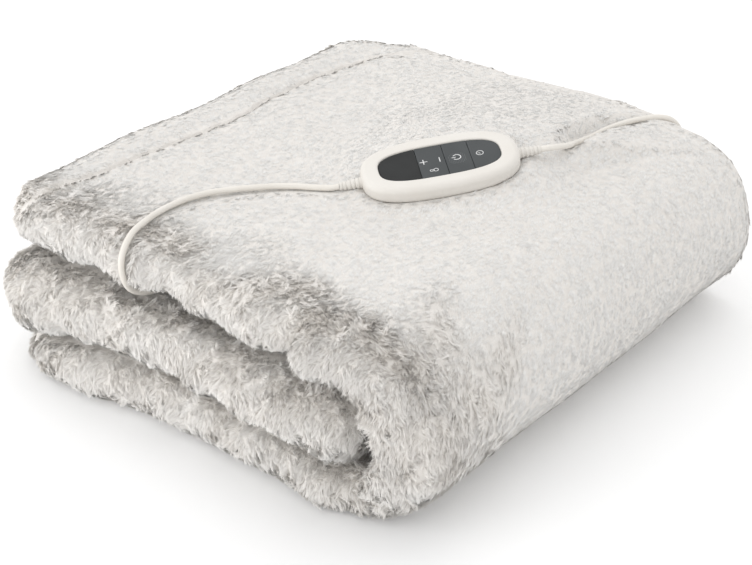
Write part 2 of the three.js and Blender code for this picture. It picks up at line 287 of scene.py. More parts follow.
def coil_route():
    """Turns from the outside in along the floor, one turn up, and out again on top of them."""
    spiral = (COIL_OUTER - COIL_INNER) / LEAD_DIAMETER
    turns = 2 * spiral + 1
    points = []
    for i in range(1, round(turns * TURN_POINTS)):
        turn = i / TURN_POINTS
        inwards = min(turn, spiral)
        outwards = max(0, turn - spiral - 1)
        climb = min(1, max(0, turn - spiral))
        radius = COIL_OUTER - LEAD_DIAMETER * (inwards - outwards)
        rise = climb * climb * (3 - 2 * climb)
        angle = -math.pi / 2 - 2 * math.pi * turn
        points.append((
            COIL_X + radius * math.cos(angle),
            COIL_Y + radius * math.sin(angle),
            COIL_LOW + (COIL_HIGH - COIL_LOW) * rise,
        ))
    return points


def smooth_line(points, per_span):
    """A Catmull-Rom curve through the points."""
    p = np.array(points, float)
    p = np.concatenate([[2 * p[0] - p[1]], p, [2 * p[-1] - p[-2]]])
    t = (np.arange(per_span) / per_span)[None, :, None]
    a, b, c, d = (p[k : len(p) - 3 + k, None, :] for k in range(4))
    curve = 0.5 * (
        2 * b + (c - a) * t + (2 * a - 5 * b + 4 * c - d) * t**2 + (3 * b - a - 3 * c + d) * t**3
    )
    return np.concatenate([curve.reshape(-1, 3), p[-2:-1]]) * MM


def lead(name, points, per_span, material):
    line = smooth_line(points, per_span)
    data = bpy.data.curves.new(name, "CURVE")
    data.dimensions = "3D"
    data.bevel_depth = LEAD_DIAMETER / 2 * MM
    data.bevel_resolution = 5
    data.use_fill_caps = True
    spline = data.splines.new("POLY")
    spline.points.add(len(line) - 1)
    spline.points.foreach_set("co", np.c_[line, np.ones(len(line))].ravel())
    data.materials.append(material)
    piece = add_object(name, data)
    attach(piece, ROOT)
    return piece, float(norm(np.diff(line, axis=0), axis=1).sum())


# ---- the controller

# The controller's own frame: along it towards the mains lead, across it, and out of its face.
CONTROLLER = Matrix((
    (0.65695, -0.75326, 0.03174, 0.051),
    (0.74255, 0.63917, -0.20021, 0.0156),
    (0.13053, 0.15510, 0.97924, 0.1582),
    (0, 0, 0, 1),
))
HOUSING = {"length": 125, "width": 67, "power": 2.7, "top": 7.25, "edge": 5}
PANEL = {"length": 96, "width": 40.5, "power": 3, "top": 6.05, "gap": 0.3}
RECESS_FLOOR = 2.05
# The recess's rounded lip: how far each ring is outside the recess, and its height.
RECESS_LIP = ((2.2, 7.22), (1.2, 7.15), (0.5, 6.9), (0.15, 6.5), (0, 6.0), (0, RECESS_FLOOR))
RECESS_MIDDLE = (60, 20)
UNDERSIDE_INSETS = (22, 12)
ROUND_STEPS = 8
WINDOW_FLOOR = 2.35
KEY_FLOOR = 3.45
KEY_SPLITS = (-17, 4.4, 24.6)
KEY_EDGE = 0.4
KEY_EDGE_STEPS = 5
KEY_FLAT_INSET = 1.5
LEAST_HALF_WIDTH = 0.02
OVAL_POINTS = 128
# A relief: length, radius at its root and tip, number of grooves and their depth.
CONTROLLER_RELIEF = (17.5, 4.55, 3.3, 4, 0.7)
RELIEF_FROM = 62
RELIEF_LEVEL = -1.5


def oval(length, width, power, z, points=OVAL_POINTS):
    angle = 2 * math.pi * np.arange(points) / points
    c, s = np.cos(angle), np.sin(angle)
    x = length / 2 * np.sign(c) * np.abs(c) ** (2 / power)
    y = width / 2 * np.sign(s) * np.abs(s) ** (2 / power)
    return np.stack([x, y, np.full(points, z)], 1)


def drawn_in(shape, inset, z):
    """The housing's or the panel's outline, drawn in by inset."""
    return oval(shape["length"] - 2 * inset, shape["width"] - 2 * inset, shape["power"], z)


def on_controller(points):
    return [CONTROLLER @ (Vector(p) * MM) for p in points]


def in_controller(points):
    """Points of the frame, in millimetres, as seen from the controller's own frame."""
    back = np.array(CONTROLLER.inverted())
    return points @ back[:3, :3].T + back[:3, 3] / MM


def controller_shell(material):
    """The housing: a rounded oval with a recess in its face, whose lip is rounded too."""
    top, edge = HOUSING["top"], HOUSING["edge"]
    rings = [drawn_in(HOUSING, inset, -top) for inset in UNDERSIDE_INSETS]
    quarter = [0.5 * math.pi * i / ROUND_STEPS for i in range(ROUND_STEPS + 1)]
    for a in quarter:
        rings.append(drawn_in(HOUSING, edge * (1 - math.sin(a)), -top + edge * (1 - math.cos(a))))
    for a in quarter:
        rings.append(drawn_in(HOUSING, edge * (1 - math.cos(a)), top - edge * (1 - math.sin(a))))
    for beyond, z in RECESS_LIP:
        rings.append(drawn_in(PANEL, -PANEL["gap"] - beyond, z))
    rings.append(oval(*RECESS_MIDDLE, PANEL["power"], RECESS_FLOOR))
    verts, faces = loft(rings)
    new_piece("controller_shell", on_controller(verts), faces, material, "controller_housing")


def panel_outline(left, right, inset, z, steps=40):
    """Part of the panel's oval between two straight cuts, drawn in by inset."""
    a = PANEL["length"] / 2 - inset
    b = PANEL["width"] / 2 - inset
    start, end = max(left + inset, -a), min(right - inset, a)
    x = (start + end) / 2 - (end - start) / 2 * np.cos(math.pi * np.linspace(0, 1, steps))
    y = b * np.maximum(0, 1 - np.abs(x / a) ** PANEL["power"]) ** (1 / PANEL["power"])
    y = np.maximum(y, LEAST_HALF_WIDTH)
    upper = np.stack([x, y, np.full(steps, z)], 1)
    lower = np.stack([x, -y, np.full(steps, z)], 1)
    return np.concatenate([lower, upper[::-1]])


def panel_piece(name, node, body, span, floor, material):
    """A flat cap with rounded edges on one span of the panel."""
    low = PANEL["top"] - KEY_EDGE
    rings = [panel_outline(*span, 0, floor), panel_outline(*span, 0, low)]
    for i in range(1, KEY_EDGE_STEPS + 1):
        a = 0.5 * math.pi * i / KEY_EDGE_STEPS
        z = PANEL["top"] - KEY_EDGE * (1 - math.sin(a))
        rings.append(panel_outline(*span, KEY_EDGE * (1 - math.cos(a)), z))
    rings.append(panel_outline(*span, KEY_EDGE + KEY_FLAT_INSET, PANEL["top"]))
    verts, faces = loft(rings)
    new_piece(name, on_controller(verts), faces, material, node, body)


def tube(p, radius, closed, sides=8):
    """A round bar along points in the plane of the panel, half sunk in it."""
    if closed:
        ahead = np.roll(p, -1, 0) - np.roll(p, 1, 0)
    else:
        ahead = np.gradient(p, axis=0)
    ahead /= norm(ahead, axis=1, keepdims=True)
    side = np.stack([-ahead[:, 1], ahead[:, 0]], 1)
    angle = 2 * math.pi * np.arange(sides) / sides
    xy = p[:, None] + radius * np.cos(angle)[None, :, None] * side[:, None]
    z = MARK_HEIGHT * np.sin(angle)[None, :] * np.ones((len(p), 1))
    return loft(np.concatenate([xy, z[:, :, None]], 2), closed)


def arc(x, y, radius, start, end, steps=24):
    angle = np.radians(np.linspace(start, end, steps))
    return [(x + radius * math.cos(a), y + radius * math.sin(a)) for a in angle]


def ring(x, y, radius):
    return arc(x, y, radius, 0, 360, 29)[:-1]


MARK_HEIGHT = 0.14
WIDE = 0.42
FINE = 0.3
# The marks' middles on the panel.
PLUS = (-12.5, 1)
MINUS = (0.3, 0.8)
GLASS = (-6.4, -11.3)
POWER = (13.7, 0)
CLOCK = (32, 0)
# Strokes of each key's marks: the mark's middle, points about it, half width and whether closed.
MARKS = {
    "level": [
        (PLUS, [(-3.1, 0), (3.1, 0)], WIDE, False),
        (PLUS, [(0, -3.1), (0, 3.1)], WIDE, False),
        (MINUS, [(0, -3), (0, 3)], WIDE, False),
        (GLASS, ring(1.6, 0, 1.7), FINE, True),
        (GLASS, arc(-2, 0, 1, 40, 320), FINE, False),
        (GLASS, [(-1.4, -0.7), (0.4, -1.1)], FINE, False),
        (GLASS, [(-1.4, 0.7), (0.4, 1.1)], FINE, False),
    ],
    "power": [
        (POWER, arc(0, 0, 3.1, 215, 505, 36), WIDE, False),
        (POWER, [(-0.6, 0), (-4, 0)], WIDE, False),
    ],
    "timer": [
        (CLOCK, ring(0, 0, 2.7), FINE, True),
        (CLOCK, [(-1.7, 0), (0, 0), (0, -1.4)], FINE, False),
    ],
}
# The raised dots round the power symbol: number each way, pitch, the disc's shift and reach, its bare
# middle, its reach along the panel, and a dot's sides, rings (radius and height) and top.
DOTS_EACH_WAY = 6
DOT_PITCH = 1.25
DOT_DISC_SHIFT = 1.5
DOT_DISC = 7.4
DOT_BARE = 4.4
DOT_ALONG = 9.4
DOT_SIDES = 8
DOT_RINGS = ((0.3, -0.05), (0.24, 0.06))
DOT_TOP = 0.09


def marks(key, body, material):
    """Pale symbols, printed a hair proud of a key."""
    verts, faces = [], []
    for middle, points, radius, closed in MARKS[key]:
        more_verts, more_faces = tube(np.array(points) + middle, radius, closed)
        faces += [tuple(i + sum(map(len, verts)) for i in face) for face in more_faces]
        verts.append(more_verts + (0, 0, PANEL["top"]))
    new_piece(key + "_marks", on_controller(np.concatenate(verts)), faces, material, body=body)


def dot_places():
    """The dots of a square grid that lie in the disc, off the symbol and on the key."""
    key_middle = (KEY_SPLITS[1] + KEY_SPLITS[2]) / 2
    steps = range(-DOTS_EACH_WAY, DOTS_EACH_WAY + 1)
    low = POWER[1] - DOT_DISC_SHIFT
    grid = [(POWER[0] + DOT_PITCH * i, low + DOT_PITCH * j) for i in steps for j in steps]
    return [
        (x, y) for x, y in grid
        if math.hypot(x - POWER[0], y - POWER[1] + DOT_DISC_SHIFT) <= DOT_DISC
        and math.hypot(x - POWER[0], y - POWER[1]) >= DOT_BARE
        and abs(x - key_middle) <= DOT_ALONG
    ]


def dots_on_power_key(body, material):
    verts, faces = [], []
    sides = DOT_SIDES
    angle = 2 * math.pi * np.arange(sides) / sides
    for x, y in dot_places():
        base = len(verts)
        for radius, z in DOT_RINGS:
            z += PANEL["top"]
            verts += [(x + radius * math.cos(a), y + radius * math.sin(a), z) for a in angle]
        verts.append((x, y, PANEL["top"] + DOT_TOP))
        for k in range(sides):
            m = (k + 1) % sides
            faces.append((base + k, base + m, base + sides + m, base + sides + k))
            faces.append((base + sides + k, base + sides + m, base + 2 * sides))
        faces.append(tuple(base + k for k in reversed(range(sides))))
    new_piece("power_dots", on_controller(verts), faces, material, body=body)


def turned(profile, sides=36):
    """Closed rings about the X axis through a profile of (x, radius)."""
    angle = 2 * math.pi * np.arange(sides) / sides
    return [np.stack([np.full(sides, x), r * np.cos(angle), r * np.sin(angle)], 1) for x, r in profile]


def ribbed_profile(length, wide, narrow, grooves, depth, steps=12):
    """Radius along a strain relief, whose ribs are rounded."""
    at = np.linspace(0, 1, steps * (grooves + 1) + 1)
    radius = wide + (narrow - wide) * at
    wave = 0.5 + 0.5 * np.cos(2 * math.pi * at * (grooves + 1) + math.pi)
    cut = depth * np.clip(2.2 * wave - 1.2, 0, 1)
    cut *= (at > 0.5 / (grooves + 1)) & (at < 1 - 0.5 / (grooves + 1))
    profile = [(length * t, r) for t, r in zip(at, radius - cut)]
    return [(0, 0.5 * wide)] + profile + [(length + 0.3, narrow - 0.25), (length + 0.4, 0.8 * narrow)]


def controller_relief(name, node, side, material):
    verts, faces = loft(turned(ribbed_profile(*CONTROLLER_RELIEF)))
    verts = verts * (side, 1, 1) + (side * RELIEF_FROM, 0, RELIEF_LEVEL)
    if side < 0:
        faces = turned_over(faces)
    new_piece(name, on_controller(verts), faces, material, node)


def controller():
    names = ("cream_housing", "dark_window", "grey_key", "pale_mark", "grey_dot")
    cream, window, key, mark, dot = (moulded(name) for name in names)
    controller_shell(cream)
    half = PANEL["length"] / 2
    first, second, third = KEY_SPLITS
    gap = PANEL["gap"] / 2
    panel_piece("window_lens", "display_window", ROOT, (-half, first - gap), WINDOW_FLOOR, window)
    keys = (
        ("level", "level_rocker", (first + gap, second - gap)),
        ("power", "power_button", (second + gap, third - gap)),
        ("timer", "timer_button", (third + gap, half)),
    )
    for name, body, span in keys:
        panel_piece(name + "_cap", name + "_key", body, span, KEY_FLOOR, key)
    for name, body, _ in keys:
        marks(name, body, mark)
    dots_on_power_key("power_button", dot)
    controller_relief("left_relief", "relief_left", -1, cream)
    controller_relief("right_relief", "relief_right", 1, cream)


# ---- the plug

PLUG_PLACE = (-46, 286, 6.8)
# The plug's body from its face back: distance, width and height.
PLUG_SECTIONS = (
    (0, 31, 9.6), (0.6, 33.2, 11.8), (2, 35, 13.6), (14, 35, 13.6), (18, 33.6, 13.6), (22, 29.6, 13.5),
    (26, 24, 13.2), (30, 18.6, 12.8), (34, 15.2, 12.2), (35.6, 13.8, 11), (36, 12, 9.4),
)
PLUG_LENGTH = 36
PLUG_STEPS = 40
PLUG_POWER = 4
PLUG_POINTS = 48
PINS_APART = 18.6
# A pin from inside the plug's face to its tip: distance and radius.
PIN_PROFILE = ((-0.3, 1), (-0.3, 2), (-16.9, 2), (-18.4, 1.75), (-19, 1.2), (-19.3, 0.5))
PLUG_RELIEF = (23, 4.7, 3.3, 5, 0.7)


def plug_piece(name, node, slot, verts, faces, offset, material):
    place = np.array(PLUG_PLACE) + offset
    return new_piece(name, (verts + place) * MM, faces, material, node)


def plug():
    """A plain two-pin plug that lies on the floor: body, two pins and a ribbed relief."""
    cream = moulded("plug_moulding")
    chrome = moulded("pin_plating")
    set_values(chrome.node_tree.nodes["Principled BSDF"], {"Metallic": 1})
    table = np.array(PLUG_SECTIONS, float)
    even = PLUG_LENGTH * np.linspace(0, 1, PLUG_STEPS + 1)
    rings = []
    for distance in np.unique(np.concatenate([table[:, 0], even])):
        width, height = (np.interp(distance, table[:, 0], table[:, k]) for k in (1, 2))
        section = oval(width, height, PLUG_POWER, distance, PLUG_POINTS)
        rings.append(np.stack([section[:, 2], section[:, 0], section[:, 1]], 1))
    body = plug_piece("plug_shell", "plug_body", "plug", *loft(rings), (0, 0, 0), cream)
    pins = []
    for name, side in (("a", -1), ("b", 1)):
        verts, faces = loft(turned(PIN_PROFILE, 24))
        offset = (0, side * PINS_APART / 2, 0)
        pin = plug_piece("pin_" + name, "plug_pin_" + name, "pin", verts, turned_over(faces), offset, chrome)
        pins.append(pin)
    ribs = loft(turned(ribbed_profile(*PLUG_RELIEF)))
    tail = plug_piece("plug_tail", "plug_relief", "plug", *ribs, (PLUG_LENGTH, 0, 0), cream)
    return [body, *pins, tail]


# ---- the folded cloth

# The bundle's faces along its runs, as in the CAD part: x, inner, outer, front, back in millimetres.
TOP_RUN = (
    (-215, 108, 132, -182, 180), (-207, 101, 141, -200, 200), (-190, 98, 145, -209, 213),
    (-179, 97, 143.5, -214, 222), (-165, 97, 141, -217, 229), (-146, 97, 143, -220, 234),
    (-96, 98, 142, -213, 238), (-62, 103, 142, -212, 239), (-30, 102, 141, -205, 238),
    (10, 98, 141, -204, 238), (60, 97, 141, -212, 238), (96, 97, 142, -205, 239),
    (110, 97, 142, -216, 239), (145, 97, 142, -214, 238),
)
BASE_RUN = (
    (145, 44, 0, -213, 234), (125, 44, 0, -223, 236), (96, 44, 0, -219, 236),
    (40, 44, 0, -221, 237), (-36, 44, 0, -224, 238), (-71, 44, 0, -229, 238),
    (-105, 42, 0, -237, 238), (-146, 33, 0, -236, 236), (-170, 27, 0, -226, 234),
)
MIDDLE_RUN = (
    (-170, 29, 95, -238, 234), (-146, 35, 95, -239, 235), (-105, 44, 96, -234, 236),
    (-62, 46, 96, -231, 236), (-9, 46, 96, -225, 236), (40, 46, 95, -228, 235),
    (107, 46, 95, -226, 234), (132, 46, 95, -224, 233), (147, 51, 94, -221, 230),
    (155, 58, 89, -216, 227), (160, 65, 80, -207, 224),
)
RIGHT_WRAP = {"inner": 21.5, "outer": 74, "steps": 44, "front": (3, 6), "back": (-12, -12)}
LEFT_WRAP = {"inner": -1.2, "outer": -47, "steps": 30, "front": (72, 24), "back": (-46, -46)}
STATION_STEP = 6
# Closer stations along the top's seam: from, to and step in x.
SEAM_STATIONS = (-187, -148, 1.25)
PLIES = 4
PLY_GAP = 1
SECOND_SETBACK = 4
INNERMOST_SETBACK = 8
SHOWN_STEPS = 84
HIDDEN_STEPS = 14
FOLD_STEPS = 9
NOSE_STEPS = 16


def smooth_column(x, values, at):
    """A monotone cubic curve through the rows of a table."""
    run = np.diff(x)
    rise = np.diff(values) / run
    slope = np.empty(len(x))
    both = rise[:-1] * rise[1:]
    total = rise[:-1] + rise[1:]
    slope[1:-1] = np.where(both > 0, 2 * both / np.where(total == 0, 1, total), 0)
    slope[0], slope[-1] = rise[0], rise[-1]
    k = np.clip(np.searchsorted(x, at, side="right") - 1, 0, len(run) - 1)
    t = (at - x[k]) / run[k]
    return (
        values[k] * (1 + 2 * t) * (1 - t) ** 2
        + values[k + 1] * t**2 * (3 - 2 * t)
        + slope[k] * run[k] * t * (1 - t) ** 2
        - slope[k + 1] * run[k] * t**2 * (1 - t)
    )


def run_stations(rows, extra=()):
    """Columns inner x, inner z, outer x, outer z, front, back at every station of one run."""
    table = np.array(rows, float)
    along = np.abs(table[:, 0] - table[0, 0])
    at = np.linspace(0, along[-1], round(along[-1] / STATION_STEP) + 1)
    at = np.unique(np.concatenate([at, [abs(x - table[0, 0]) for x in extra]]))
    x, inner, outer, front, back = (smooth_column(along, table[:, k], at) for k in range(5))
    return np.stack([x, inner, x, outer, front, back], 1)


def wrap_stations(before, after, wrap):
    """Stations round a wrap, between two runs."""
    angle = (math.pi * np.arange(1, wrap["steps"]) / wrap["steps"])[:, None]
    share, bulge = (1 - np.cos(angle)) / 2, np.sin(angle)
    stations = before + (after - before) * share
    stations[:, (0, 2)] += np.array([wrap["inner"], wrap["outer"]]) * bulge
    low, high = np.array([wrap["front"], wrap["back"]]).T
    stations[:, 4:] += (low + (high - low) * share) * bulge**3
    return stations


def flat_ply(start, end, n, steps):
    """A straight stretch of every outline: y, height across the layers and the normal."""
    t = np.linspace(0, 1, steps + 1)[None, :]
    y = start[:, None] + (end - start)[:, None] * t
    side = np.sign(end - start)[:, None] * np.ones_like(t)
    return np.stack([y, n[:, None] * np.ones_like(t), 0 * y, side], 2)


def half_turn(y, n, radius, start, turn, steps):
    """A fold between two straight stretches, in the same columns."""
    angle = start + turn * math.pi * np.arange(1, steps) / steps
    c, s = np.cos(angle)[None, :], np.sin(angle)[None, :]
    one = np.ones_like(y)[:, None]
    return np.stack([
        y[:, None] + radius[:, None] * c, n[:, None] + radius[:, None] * s, -turn * c * one, -turn * s * one
    ], 2)


def cloth_grid():
    """Points of the folded blanket, one closed outline for each station: stations x points x 3."""
    top = run_stations(TOP_RUN, np.arange(*SEAM_STATIONS))
    base, middle = run_stations(BASE_RUN), run_stations(MIDDLE_RUN)
    stations = np.concatenate([
        top,
        wrap_stations(top[-1], base[0], RIGHT_WRAP),
        base,
        wrap_stations(base[-1], middle[0], LEFT_WRAP),
        middle,
    ])
    inner, outer = stations[:, 0:2], stations[:, 2:4]
    front, back = stations[:, 4], stations[:, 5]
    height = norm(outer - inner, axis=1)
    ply = (height - (PLIES - 1) * PLY_GAP) / PLIES
    pitch = ply + PLY_GAP
    level = [ply / 2 + k * pitch for k in range(PLIES)]
    front_fold = front + height / 2
    back_fold = back - ply - PLY_GAP / 2
    up, down = 0.5 * math.pi, -0.5 * math.pi
    middle_line = np.concatenate([
        flat_ply(back - SECOND_SETBACK, front_fold, level[1], HIDDEN_STEPS),
        half_turn(front_fold, height / 2, pitch / 2, 3 * up, -1, FOLD_STEPS),
        flat_ply(front_fold, back_fold, level[2], HIDDEN_STEPS),
        half_turn(back_fold, (level[2] + level[3]) / 2, pitch / 2, down, 1, FOLD_STEPS),
        flat_ply(back_fold, front_fold, level[3], SHOWN_STEPS),
        half_turn(front_fold, height / 2, 1.5 * pitch, up, 1, NOSE_STEPS),
        flat_ply(front_fold, back - INNERMOST_SETBACK, level[0], HIDDEN_STEPS),
    ], 1)
    line, half_ply = middle_line[:, :, :2], middle_line[:, :, 2:] * ply[:, None, None] / 2
    outline = np.concatenate([line + half_ply, (line - half_ply)[:, ::-1]], 1)
    share = (outline[:, :, 1] / height[:, None])[:, :, None]
    xz = inner[:, None] + (outer - inner)[:, None] * share
    return np.stack([xz[:, :, 0], outline[:, :, 0], xz[:, :, 1]], 2)


def grid_faces(stations, count):
    """Side quads of the grid, and the two end caps, strip by strip."""
    i = np.arange(count)
    j = (i + 1) % count
    r = np.arange(stations - 1)[:, None] * count
    sides = np.stack([r + i, r + count + i, r + count + j, r + j], 2).reshape(-1, 4)
    last = (stations - 1) * count
    k = np.arange(count // 2 - 1)
    far = count - 1 - k
    first_cap = np.stack([k, k + 1, far - 1, far], 1)
    last_cap = np.stack([last + k, last + far, last + far - 1, last + k + 1], 1)
    return np.concatenate([sides, first_cap, last_cap])


# ---- folds, seam and creases

# The hem's stitched line on the top: y and x.
HEM_SEAM = (
    (-216, -187), (-190, -182), (-160, -174), (-119, -168.5), (-51, -164), (9, -162),
    (59, -165.5), (101, -167.5), (140, -166), (181, -155), (212, -136), (240, -112),
)
SEAM_DEPTH = 3.4
SEAM_WIDTH = 1.7
PUCKER = 0.5
PUCKER_WIDTHS = 5


def waves(points, wavelength, seed, count=14):
    """A smooth random field of about unit size, from waves in random directions."""
    rng = np.random.default_rng(seed)
    direction = rng.normal(size=(count, 3))
    direction *= (2 * math.pi / wavelength) / norm(direction, axis=1, keepdims=True)
    phase = rng.uniform(0, 2 * math.pi, count)
    return np.cos(points @ direction.T + phase).sum(-1) * math.sqrt(2 / count)


def soft_step(value, low, high):
    t = np.clip((value - low) / (high - low), 0, 1)
    return t * t * (3 - 2 * t)


def unit(vectors):
    return vectors / np.maximum(norm(vectors, axis=1, keepdims=True), 1e-9)


def seam_line(y):
    """The seam's x at each y, with a slight wander."""
    table = np.array(HEM_SEAM, float)
    first, last = table[0, 0], table[-1, 0]
    return smooth_column(table[:, 0], table[:, 1], np.clip(y, first, last)) + 0.7 * np.sin(y / 11 + 1)


# Sway of the whole bundle along x, y and z, and the wavelengths of the waves on it.
SWAY = (1.2, 1.4, 0.8)
SWAY_WAVE = 130
NOSE_WAVE = 36
FACE_WAVE = 40
# Stretches along x, y or z over which a shape comes in or fades out.
OFF_FLOOR_Z = (2, 26)
NOSE_Y = (-196, -140)
SAG_Y = (-190, -110)
BACK_Y = (190, 232)
BACK_Z = (100, 125)
CORNER_X = (140, 212)
CORNER_Y = (140, 222)
CORNER_Z = (90, 120)
LEFT_X = (165, 205)
LEFT_Y = (-170, -60)
TOP_Z = (128, 138)
TOP_Y = (-206, -186)
# Heights of the swells on the back edge and the left end, and the middle and spread of each.
BACK_SWELL = 4.5
BACK_SWELL_X = (82, 38)
LEFT_SWELL = 6
LEFT_SWELL_Z = (70, 26)
CORNER_DRAWN_IN = 15
# Parts of the front folds that hang lower: x, its spread, z, its spread, and by how much.
SAGS = (
    (-205, 48, 32, 17, 8),
    (144, 28, 50, 13, 8),
)
# Troughs across the front folds: x, y, z of both ends, width and depth.
CREASES = (
    ((150, -222, 92), (128, -226, 62), 7, 2.5),
    ((116, -221, 44), (112, -226, 8), 6, 2.5),
    ((150, -214, 36), (168, -206, 6), 7, 2.5),
    ((-96, -210, 138), (-86, -216, 104), 9, 2),
    ((-22, -200, 138), (-30, -206, 104), 9, 1.5),
    ((98, -202, 142), (102, -208, 100), 8, 2.5),
    ((44, -206, 140), (52, -212, 104), 8, 1.5),
    ((-140, -226, 90), (-120, -236, 50), 9, 2),
    ((-70, -222, 90), (-52, -230, 52), 9, 1.5),
    ((20, -220, 90), (32, -226, 52), 9, 1.5),
    ((80, -220, 90), (90, -228, 52), 9, 1.5),
    ((-80, -226, 36), (-64, -230, 6), 9, 1.5),
    ((-10, -220, 36), (4, -224, 6), 9, 2),
    ((60, -218, 36), (70, -222, 6), 8, 1.5),
    ((190, -208, 84), (191, -207, 58), 5, 2.5),
    ((191, -207, 58), (202, -202, 20), 5, 2.5),
)
# Crests on the right wrap's front, in the same columns, and the way they are pushed.
CRESTS = (
    ((150, -212, 110), (172, -208, 92), 7, 4),
    ((172, -208, 92), (180, -202, 74), 8, 6),
    ((180, -202, 74), (174, -203, 52), 8, 6),
    ((178, -206, 50), (187, -204, 36), 6, 6),
    ((187, -204, 36), (193, -202, 14), 5.5, 6),
)
CREST_OUT = (-0.75, -0.66, 0.0)


def distance_from(points, start, end):
    """Each point's distance from the line between start and end."""
    a, b = np.array(start, float), np.array(end, float)
    t = np.clip((points - a) @ (b - a) / ((b - a) @ (b - a)), 0, 1)
    return norm(points - a - t[:, None] * (b - a), axis=1)


def near_line(points, start, end, width):
    """1 on a line in space, and falling off beside it."""
    return np.exp(-((distance_from(points, start, end) / width) ** 2))


def bell(value, middle, spread):
    return np.exp(-(((value - middle) / spread) ** 2))


def sway(points):
    """Bends the whole bundle a little, and its front folds a little more."""
    p = points.copy()
    lift = soft_step(p[:, 2], *OFF_FLOOR_Z)
    nose = 1 - soft_step(p[:, 1], *NOSE_Y)
    for axis, amount in enumerate(SWAY):
        p[:, axis] += lift * amount * waves(points, SWAY_WAVE, 10 + axis)
    p[:, 1] += lift * nose * 1.5 * waves(points * (1, 0.3, 1), NOSE_WAVE, 21)
    p[:, 2] += lift * (0.3 + nose) * 0.5 * waves(points, FACE_WAVE, 22)
    return p


def large_shapes(p, points):
    """The sags, the raised back edge, the drawn-in back corner and the full left end."""
    x, y, z = points.T
    for sag_x, wide, sag_z, high, drop in SAGS:
        sag = np.exp(-(((x - sag_x) / wide) ** 2) - ((z - sag_z) / high) ** 2)
        p[:, 2] -= drop * sag * (1 - soft_step(y, *SAG_Y))
    back = soft_step(y, *BACK_Y) * soft_step(z, *BACK_Z)
    p[:, 2] += BACK_SWELL * back * bell(x, *BACK_SWELL_X)
    corner = soft_step(-x, *CORNER_X) * soft_step(y, *CORNER_Y)
    p[:, 1] -= CORNER_DRAWN_IN * corner * soft_step(z, *CORNER_Z)
    left = soft_step(-x, *LEFT_X) * (1 - soft_step(y, *LEFT_Y))
    p[:, 0] -= LEFT_SWELL * left * bell(z, *LEFT_SWELL_Z)


def press_seam(p, points):
    """The hem's stitched line across the top, with puckers beside it."""
    x, y, z = points.T
    top = soft_step(z, *TOP_Z) * soft_step(y, *TOP_Y)
    across = (x - seam_line(y)) / SEAM_WIDTH
    broken = 0.8 + 0.2 * np.sin(y / 4.2)
    p[:, 2] -= top * SEAM_DEPTH * broken * np.exp(-(across**2))
    pucker = np.exp(-((across / PUCKER_WIDTHS) ** 2)) * np.sin(y / 5.5 + 1.3 * np.sin(y / 17))
    p[:, 2] += PUCKER * top * pucker


def shape_folds(points):
    """The cloth's true shape, from the plain folded one, in millimetres."""
    p = sway(points)
    large_shapes(p, points)
    for start, end, width, depth in CREASES:
        p[:, 1] += depth * near_line(points, start, end, width)
    for start, end, width, height in CRESTS:
        p += height * near_line(points, start, end, width)[:, None] * np.array(CREST_OUT)
    press_seam(p, points)
    return under_controller_rise(p + beside_lead(points))


# The parts of the two leads that lie on the cloth, as points of their routes.
LEFT_ON_CLOTH = LEFT_ROUTE[:18]
RIGHT_ON_CLOTH = RIGHT_ROUTE[5:20]
RIGHT_ON_TOP = RIGHT_ROUTE[:12]
# Beside a lead the cloth swells away from a flat slab in the bundle: its level and half depth.
SLAB_Z = 110
SLAB_HALF_DEPTH = 150
UPPER_LAYERS = 95


def beside_lead(points):
    """The cloth swells a little on both sides of the leads, most at the front of the top fold."""
    shift = np.zeros_like(points)
    close = points[:, 2] > UPPER_LAYERS
    near = points[close]
    away = np.full(len(near), 1e9)
    for route in (LEFT_ON_CLOTH, RIGHT_ON_CLOTH):
        for start, end in zip(route[:-1], route[1:]):
            away = np.minimum(away, distance_from(near, start, end))
    front = 1 - soft_step(near[:, 1], -195, -150)
    height = (1.5 + 2.2 * front) * np.exp(-(((away - 8 - 4 * front) / (2.8 + 2 * front)) ** 2))
    past_slab = near[:, 1] - SLAB_HALF_DEPTH * np.sign(near[:, 1])
    out_y = np.where(np.abs(near[:, 1]) > SLAB_HALF_DEPTH, past_slab, 0)
    out = unit(np.stack([0 * away, out_y, near[:, 2] - SLAB_Z], 1))
    shift[close] = out * height[:, None]
    return shift


# Heights of the top layer: its face, its middle and a level under its underside.
TOP_LEVEL = 142
TOP_PLY_MIDDLE = 137
TOP_PLY_LOW = 128
# The plush about the housing, in the controller's own frame: distance outside it and level.
NEST = (
    (-30, -7.7), (-6, -7.6), (-1.5, -6.4), (1.5, -4.5), (4, -4.2), (8, -5.4), (16, -9), (34, -17.8),
    (110, -65),
)
NEST_END = 110
NEST_TOUCH = 2
NEST_BLEND = 5
NEST_MOST = 30
# On the far side it falls away more slowly, by this share, and starts this much lower.
NEST_FAR_STRETCH = 0.42
NEST_FAR_DROP = 1.2
# The plush's depth below the mains lead's middle, its rise beside it, how far that goes, and the layer.
LEAD_BED = 2.9
LEAD_BED_RISE = 0.09
LEAD_BED_REACH = 13
TOP_PLY = 10.5


def housing_reach(local, inset=0):
    """1 on the housing's outline, drawn in by inset, less inside it and more outside."""
    along = np.abs(local[:, 0] / (HOUSING["length"] / 2 - inset)) ** HOUSING["power"]
    across = np.abs(local[:, 1] / (HOUSING["width"] / 2 - inset)) ** HOUSING["power"]
    return (along + across) ** (1 / HOUSING["power"])


